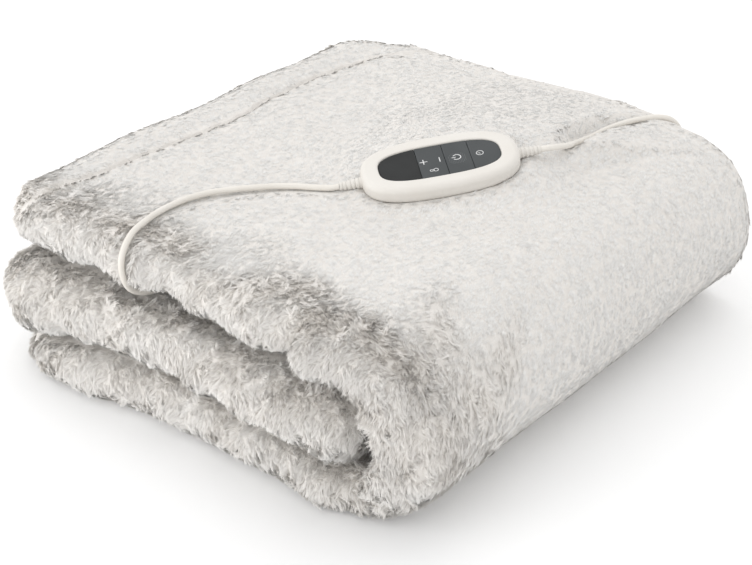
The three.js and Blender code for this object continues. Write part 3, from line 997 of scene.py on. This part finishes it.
def under_controller_rise(points):
    """The top layer rises under the housing, and its plush a little way up the housing's side."""
    hidden = points[:, 2] < TOP_PLY_MIDDLE
    face = points.copy()
    face[hidden, 2] = TOP_LEVEL
    local = in_controller(face)
    outside = np.hypot(local[:, 0], local[:, 1]) * (1 - 1 / np.maximum(housing_reach(local), 0.2))
    stretch = 1 - NEST_FAR_STRETCH * soft_step(local[:, 1], 0, 30)
    outside = outside * np.where(outside > 0, stretch, 1)
    table = np.array(NEST, float)
    level = np.interp(outside, table[:, 0], table[:, 1], right=-1e3)
    level -= NEST_FAR_DROP * soft_step(local[:, 1], 5, 30)
    lift = level - local[:, 2]
    blended = (lift + NEST_BLEND) ** 2 / (4 * NEST_BLEND)
    soft = np.where(lift > NEST_BLEND, lift, np.where(lift > -NEST_BLEND, blended, 0))
    soft = np.where(outside < NEST_TOUCH, np.maximum(lift, 0), soft)
    rise = np.minimum(soft, NEST_MOST) * (points[:, 2] > TOP_PLY_LOW) * (outside < NEST_END)
    shifted = points.copy()
    shifted[:, 2] += rise / CONTROLLER[2][2]
    return below_lead(shifted, hidden)


def below_lead(points, hidden):
    """Keeps the top's plush under the mains lead, which lies on it."""
    route = smooth_line(RIGHT_ON_TOP, 6) / MM
    lowered = points.copy()
    close = np.flatnonzero((points[:, 2] > TOP_PLY_LOW) & (points[:, 0] > 60) & (points[:, 1] > 50))
    near = points[close]
    gap = norm(near[:, None, :2] - route[None, :, :2], axis=2)
    away = gap.min(1)
    limit = route[gap.argmin(1), 2] - LEAD_BED + LEAD_BED_RISE * away**2 - TOP_PLY * hidden[close]
    lowered[close, 2] = np.where(away < LEAD_BED_REACH, np.minimum(near[:, 2], limit), near[:, 2])
    return lowered


# How far the ground lies below the cloth's face: everywhere, and more where the pile stands up.
PILE_ROOM = (0.3, 2.0)
ROOM_Z = (1, 12)


def point_normals(points, faces):
    a, b, c, d = (points[faces[:, k]] for k in range(4))
    cross = np.cross(c - a, d - b)
    total = np.zeros_like(points)
    for k in range(4):
        np.add.at(total, faces[:, k], cross)
    return unit(total)


def cloth(material):
    grid = cloth_grid()
    stations, count, _ = grid.shape
    points = shape_folds(grid.reshape(-1, 3))
    faces = grid_faces(stations, count)
    room = PILE_ROOM[0] + PILE_ROOM[1] * tuftiness(points)
    room *= soft_step(points[:, 2], *ROOM_Z)
    points -= room[:, None] * point_normals(points, faces)
    points[:, 2] = np.maximum(points[:, 2], 0)
    piece = new_piece("folded_blanket", points * MM, faces.tolist(), material, "blanket")
    return piece, points, faces


# ---- the pile

STRANDS_A_TUFT = 10
TUFTS_A_PIECE = 18800
PILE_PIECES = ("pile_front", "pile_near", "pile_far", "pile_back")
# A face is open to the air where nothing is within this distance of it.
OPEN_FULLY = 30
OPEN_FROM = (4, 9)
# How many times as many tufts stand at the front, and shares left out where little is seen.
FRONT_SHARE = 2.3
HIDDEN_SHARE = 0.35
EDGE_SHARE = 0.7
# No tufts grow this close to the seam over this level, under the housing short of its edge, or lower.
SEAM_BARE = 1.9
SEAM_LOW = 130
HOUSING_OVERLAP = 1.5
HOUSING_HEIGHT = 30
LOWEST_TUFT = 1.2
# Measures of a strand, in millimetres and degrees: where it lies, and what standing up adds.
LEAN = (87.5, -24.5)
LEAN_SPREAD = (1, 8)
STRAND_LENGTH = (4.4, 1.6)
ROOT_SPREAD = (1.0, -0.1)
ROOT_DEPTH = (0.1, 0.3)
TIP_SPREAD = (0.9, -0.6)
TIP_JITTER = (0.08, 0.16)
TWIST = (0.1, 0.25)
HALF_WIDTH = (0.42, -0.16)
CORNER_LEAN = 18
# The least height over the floor of a tip, a root and a corner.
TIP_CLEAR = 0.4
ROOT_CLEAR = 0.6
CORNER_CLEAR = 0.1
# A strand's two root corners and its tip in its cell of the map.
STRAND_MAP = ((0.2, 0.06), (0.8, 0.06), (0.5, 0.94))


def by_stand(measure, stand):
    return measure[0] + measure[1] * stand


def surface_table(points, faces):
    """Corners, centre, normal, area and openness of each quad."""
    corners = points[faces]
    cross = np.cross(corners[:, 2] - corners[:, 0], corners[:, 3] - corners[:, 1])
    area = norm(cross, axis=1) / 2
    normal, centre = unit(cross), corners.mean(1)
    tree = BVHTree.FromPolygons([tuple(p) for p in points], [tuple(f) for f in faces.tolist()])
    open_to = np.empty(len(faces))
    for k in range(len(faces)):
        hit = tree.ray_cast(Vector(centre[k] + 0.6 * normal[k]), Vector(normal[k]), OPEN_FULLY)
        open_to[k] = OPEN_FULLY if hit[3] is None else hit[3]
    return corners, centre, normal, area, open_to


def tuftiness(points):
    """1 where the pile stands up in tufts, 0 where it lies smooth."""
    x, y, z = points.T
    front = 1 - soft_step(y + 9 * waves(points, 70, 31), -190, -130)
    right_corner = soft_step(x, 120, 190) * (1 - soft_step(y + 14 * waves(points, 60, 32), -160, -80))
    low = 0.7 * (1 - soft_step(z, 100, 126)) * (1 - soft_step(x, 150, 175))
    back = 0.5 * soft_step(y, 215, 232) * (1 - soft_step(z, 100, 122))
    left = 0.6 * (1 - soft_step(x, -214, -196))
    patch = 0.82 + 0.18 * np.tanh(1.6 * waves(points, 45, 33))
    return np.clip(np.maximum.reduce([front, right_corner, low, back, left]) * patch, 0, 1)


def pile_weight(centre, normal, area, open_to):
    """How many tufts each quad wants: none underneath or inside the folds, most at the front."""
    x, y, z = centre.T
    weight = area * soft_step(open_to, *OPEN_FROM)
    weight *= soft_step(-normal[:, 2], 1.01, 0.8)
    weight *= z > LOWEST_TUFT
    front = 1 - soft_step(y, -185, -130)
    hidden = np.maximum(soft_step(y, 205, 230), soft_step(-x, 200, 215))
    edge = soft_step(y, 226, 234) * soft_step(z, 112, 126)
    return weight * (1 + (FRONT_SHARE - 1) * front) * (1 - HIDDEN_SHARE * hidden) * (1 - EDGE_SHARE * edge)


def tufts(table, total):
    """Random tufts over the open surface: place, normal and how far they stand up."""
    corners, _, normal, _, _ = table
    weight = pile_weight(*table[1:])
    pick = random.choice(len(corners), total, p=weight / weight.sum())
    n = normal[pick]
    u, v = random.uniform(size=(2, total, 1))
    a, b, c, d = (corners[pick, k] for k in range(4))
    place = (a * (1 - u) + b * u) * (1 - v) + (d * (1 - u) + c * u) * v
    stand = tuftiness(place) * (1 - 0.65 * soft_step(-n[:, 2], 0.15, 0.6))
    return place, n, stand


def lay_of_pile(place, normal, stand):
    """The way the pile is brushed: over the top towards the front, and downwards on the folds."""
    field = np.stack([0.6 * waves(place, 40, 41 + k) + waves(place, 13, 44 + k) for k in range(3)], 1)
    brushed = np.array([0.3, -0.75, 0.0]) + np.array([0, 0, -0.9]) * (1 - np.abs(normal[:, 2:]))
    lay = brushed + (0.14 + 0.32 * stand[:, None]) * field
    off_seam = place[:, 0] - seam_line(place[:, 1])
    pull = np.exp(-((off_seam / 6) ** 2)) * (place[:, 2] > TOP_PLY_LOW)
    lay[:, 0] += 2.5 * pull * np.sign(off_seam)
    lay -= (lay * normal).sum(1, keepdims=True) * normal
    return unit(lay)


def strand_corners(place, normal, stand):
    """Two root corners and a tip of every strand, which leans in to the tip of its tuft."""
    count = len(place) * STRANDS_A_TUFT
    tuft = np.repeat(np.arange(len(place)), STRANDS_A_TUFT)
    s = stand[tuft][:, None]
    n = normal[tuft]
    lay = lay_of_pile(place, normal, stand)
    corner = soft_step(place[:, 0], 70, 120) * (1 - soft_step(place[:, 0], 198, 216))
    corner *= 1 - soft_step(place[:, 1], -195, -150)
    lean = by_stand(LEAN, stand) - CORNER_LEAN * corner
    lean = np.radians(lean + random.normal(size=len(place)) * by_stand(LEAN_SPREAD, stand))[:, None]
    reach = (by_stand(STRAND_LENGTH, stand) * random.uniform(0.8, 1.2, len(place)))[:, None]
    heading = normal * np.cos(lean) + lay * np.sin(lean)
    spread = random.normal(size=(count, 3))
    spread -= (spread * n).sum(1, keepdims=True) * n
    spread *= by_stand(ROOT_SPREAD, s)
    root = place[tuft] + spread - by_stand(ROOT_DEPTH, s) * n
    tip = place[tuft] + (heading * reach)[tuft] * random.uniform(0.75, 1.1, (count, 1))
    tip += spread * by_stand(TIP_SPREAD, s) + random.normal(size=(count, 3)) * by_stand(TIP_JITTER, s)
    across = unit(np.cross(tip - root, n + by_stand(TWIST, s) * random.normal(size=(count, 3))))
    half = by_stand(HALF_WIDTH, s) * random.uniform(0.75, 1.25, (count, 1))
    tip[:, 2] = np.maximum(tip[:, 2], TIP_CLEAR)
    root[:, 2] = np.maximum(root[:, 2], ROOT_CLEAR)
    corners = np.stack([root - across * half, root + across * half, tip], 1)
    corners[:, :, 2] = np.maximum(corners[:, :, 2], CORNER_CLEAR)
    return corners


def strand_uv(stand):
    """Each strand's corners on the map, with a random tone."""
    tone = np.clip(random.normal(0.55, 0.2, len(stand)), 0, 0.999)
    u = np.floor(tone * CELLS_ACROSS) / CELLS_ACROSS
    v = np.round(stand * (CELLS_UP - 1)) / CELLS_UP
    wide, tall = 1 / CELLS_ACROSS, 1 / CELLS_UP
    return np.stack([np.stack([u + a * wide, v + b * tall], 1) for a, b in STRAND_MAP], 1)


def pile_piece(name, place, normal, stand, material):
    """One mesh of strands, shaded like the cloth where they lie and as blades where they stand."""
    corners = strand_corners(place, normal, stand)
    count = len(corners)
    n = np.repeat(normal, STRANDS_A_TUFT, 0)
    strand_stand = np.repeat(stand, STRANDS_A_TUFT)
    outwards = np.cross(corners[:, 1] - corners[:, 0], corners[:, 2] - corners[:, 0])
    turned_in = (outwards * n).sum(1) < 0
    corners[turned_in] = corners[turned_in][:, (1, 0, 2)]
    outwards[turned_in] *= -1
    mesh = bpy.data.meshes.new(name)
    mesh.vertices.add(3 * count)
    mesh.vertices.foreach_set("co", (corners * MM).astype(np.float32).ravel())
    mesh.loops.add(3 * count)
    mesh.loops.foreach_set("vertex_index", np.arange(3 * count, dtype=np.int32))
    mesh.polygons.add(count)
    mesh.polygons.foreach_set("loop_start", np.arange(0, 3 * count, 3, dtype=np.int32))
    mesh.update(calc_edges=True)
    mesh.shade_smooth()
    own = soft_step(strand_stand[:, None], 0.0, 0.4)
    facing = unit(n * (1 - own) + unit(outwards) * own)
    mesh.normals_split_custom_set_from_vertices(np.repeat(facing, 3, 0))
    layer = mesh.uv_layers.new(name="OFBake")
    layer.data.foreach_set("uv", strand_uv(strand_stand).astype(np.float32).ravel())
    mesh.materials.append(material)
    piece = add_object(name, mesh)
    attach(piece, ROOT)
    return piece


def pile(table, material):
    place, normal, stand = tufts(table, len(PILE_PIECES) * TUFTS_A_PIECE)
    keep = np.abs(place[:, 0] - seam_line(place[:, 1])) > SEAM_BARE
    keep |= place[:, 2] < SEAM_LOW
    local = in_controller(place)
    keep &= (housing_reach(local, HOUSING_OVERLAP) >= 1) | (np.abs(local[:, 2]) >= HOUSING_HEIGHT)
    place, normal, stand = place[keep], normal[keep], stand[keep]
    parts = np.array_split(np.argsort(place[:, 1]), len(PILE_PIECES))
    return [
        pile_piece(name, place[part], normal[part], stand[part], material)
        for name, part in zip(PILE_PIECES, parts)
    ]


# ---- lights and floor

FLOOR_HALF = 6
FLOOR_Z = -0.0006
WORLD_STRENGTH = 1.05
# Each light's place, size in metres and power in watts.
LIGHTS = {
    "overhead": ((-0.5, 0.9, 2.2), 3.0, 13),
    "front_fill": ((-1.0, -2.0, 0.5), 1.6, 22),
}
LIGHTS_AIM = (0, 0, 0.08)


def stage():
    material, _, shader = new_material("floor")
    set_values(shader, {"Base Color": (0.93, 0.93, 0.93, 1), "Roughness": 0.9})
    mesh = bpy.data.meshes.new("floor")
    signs = ((-1, -1), (1, -1), (1, 1), (-1, 1))
    mesh.from_pydata([(a * FLOOR_HALF, b * FLOOR_HALF, FLOOR_Z) for a, b in signs], [], [(0, 1, 2, 3)])
    mesh.materials.append(material)
    add_object("floor", mesh)
    world = bpy.data.worlds.new("studio")
    world.use_nodes = True
    set_values(world.node_tree.nodes["Background"], {"Color": (1, 1, 1, 1), "Strength": WORLD_STRENGTH})
    bpy.context.scene.world = world
    bpy.context.scene.view_settings.view_transform = "Standard"
    for name, (place, size, power) in LIGHTS.items():
        data = bpy.data.lights.new(name, "AREA")
        data.size = size
        data.energy = power
        light = add_object(name, data)
        light.location = place
        aim = Vector(LIGHTS_AIM) - Vector(place)
        light.rotation_euler = aim.to_track_quat("-Z", "Y").to_euler()


# ---- building it

add_camera()
sheath = moulded("lead_sheath")
left, left_length = lead("controller_lead", LEFT_ROUTE, per_span=8, material=sheath)
mains_route = RIGHT_ROUTE + tuple(coil_route()) + TAIL_ROUTE
mains, mains_length = lead("mains_lead", mains_route, per_span=4, material=sheath)
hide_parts("lead_left")
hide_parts("lead_right", "lead_coil", "lead_tail")
plug()

controller()
blanket, cloth_points, cloth_faces = cloth(ground_material())
strands = pile(surface_table(cloth_points, cloth_faces), pile_material())
stage()
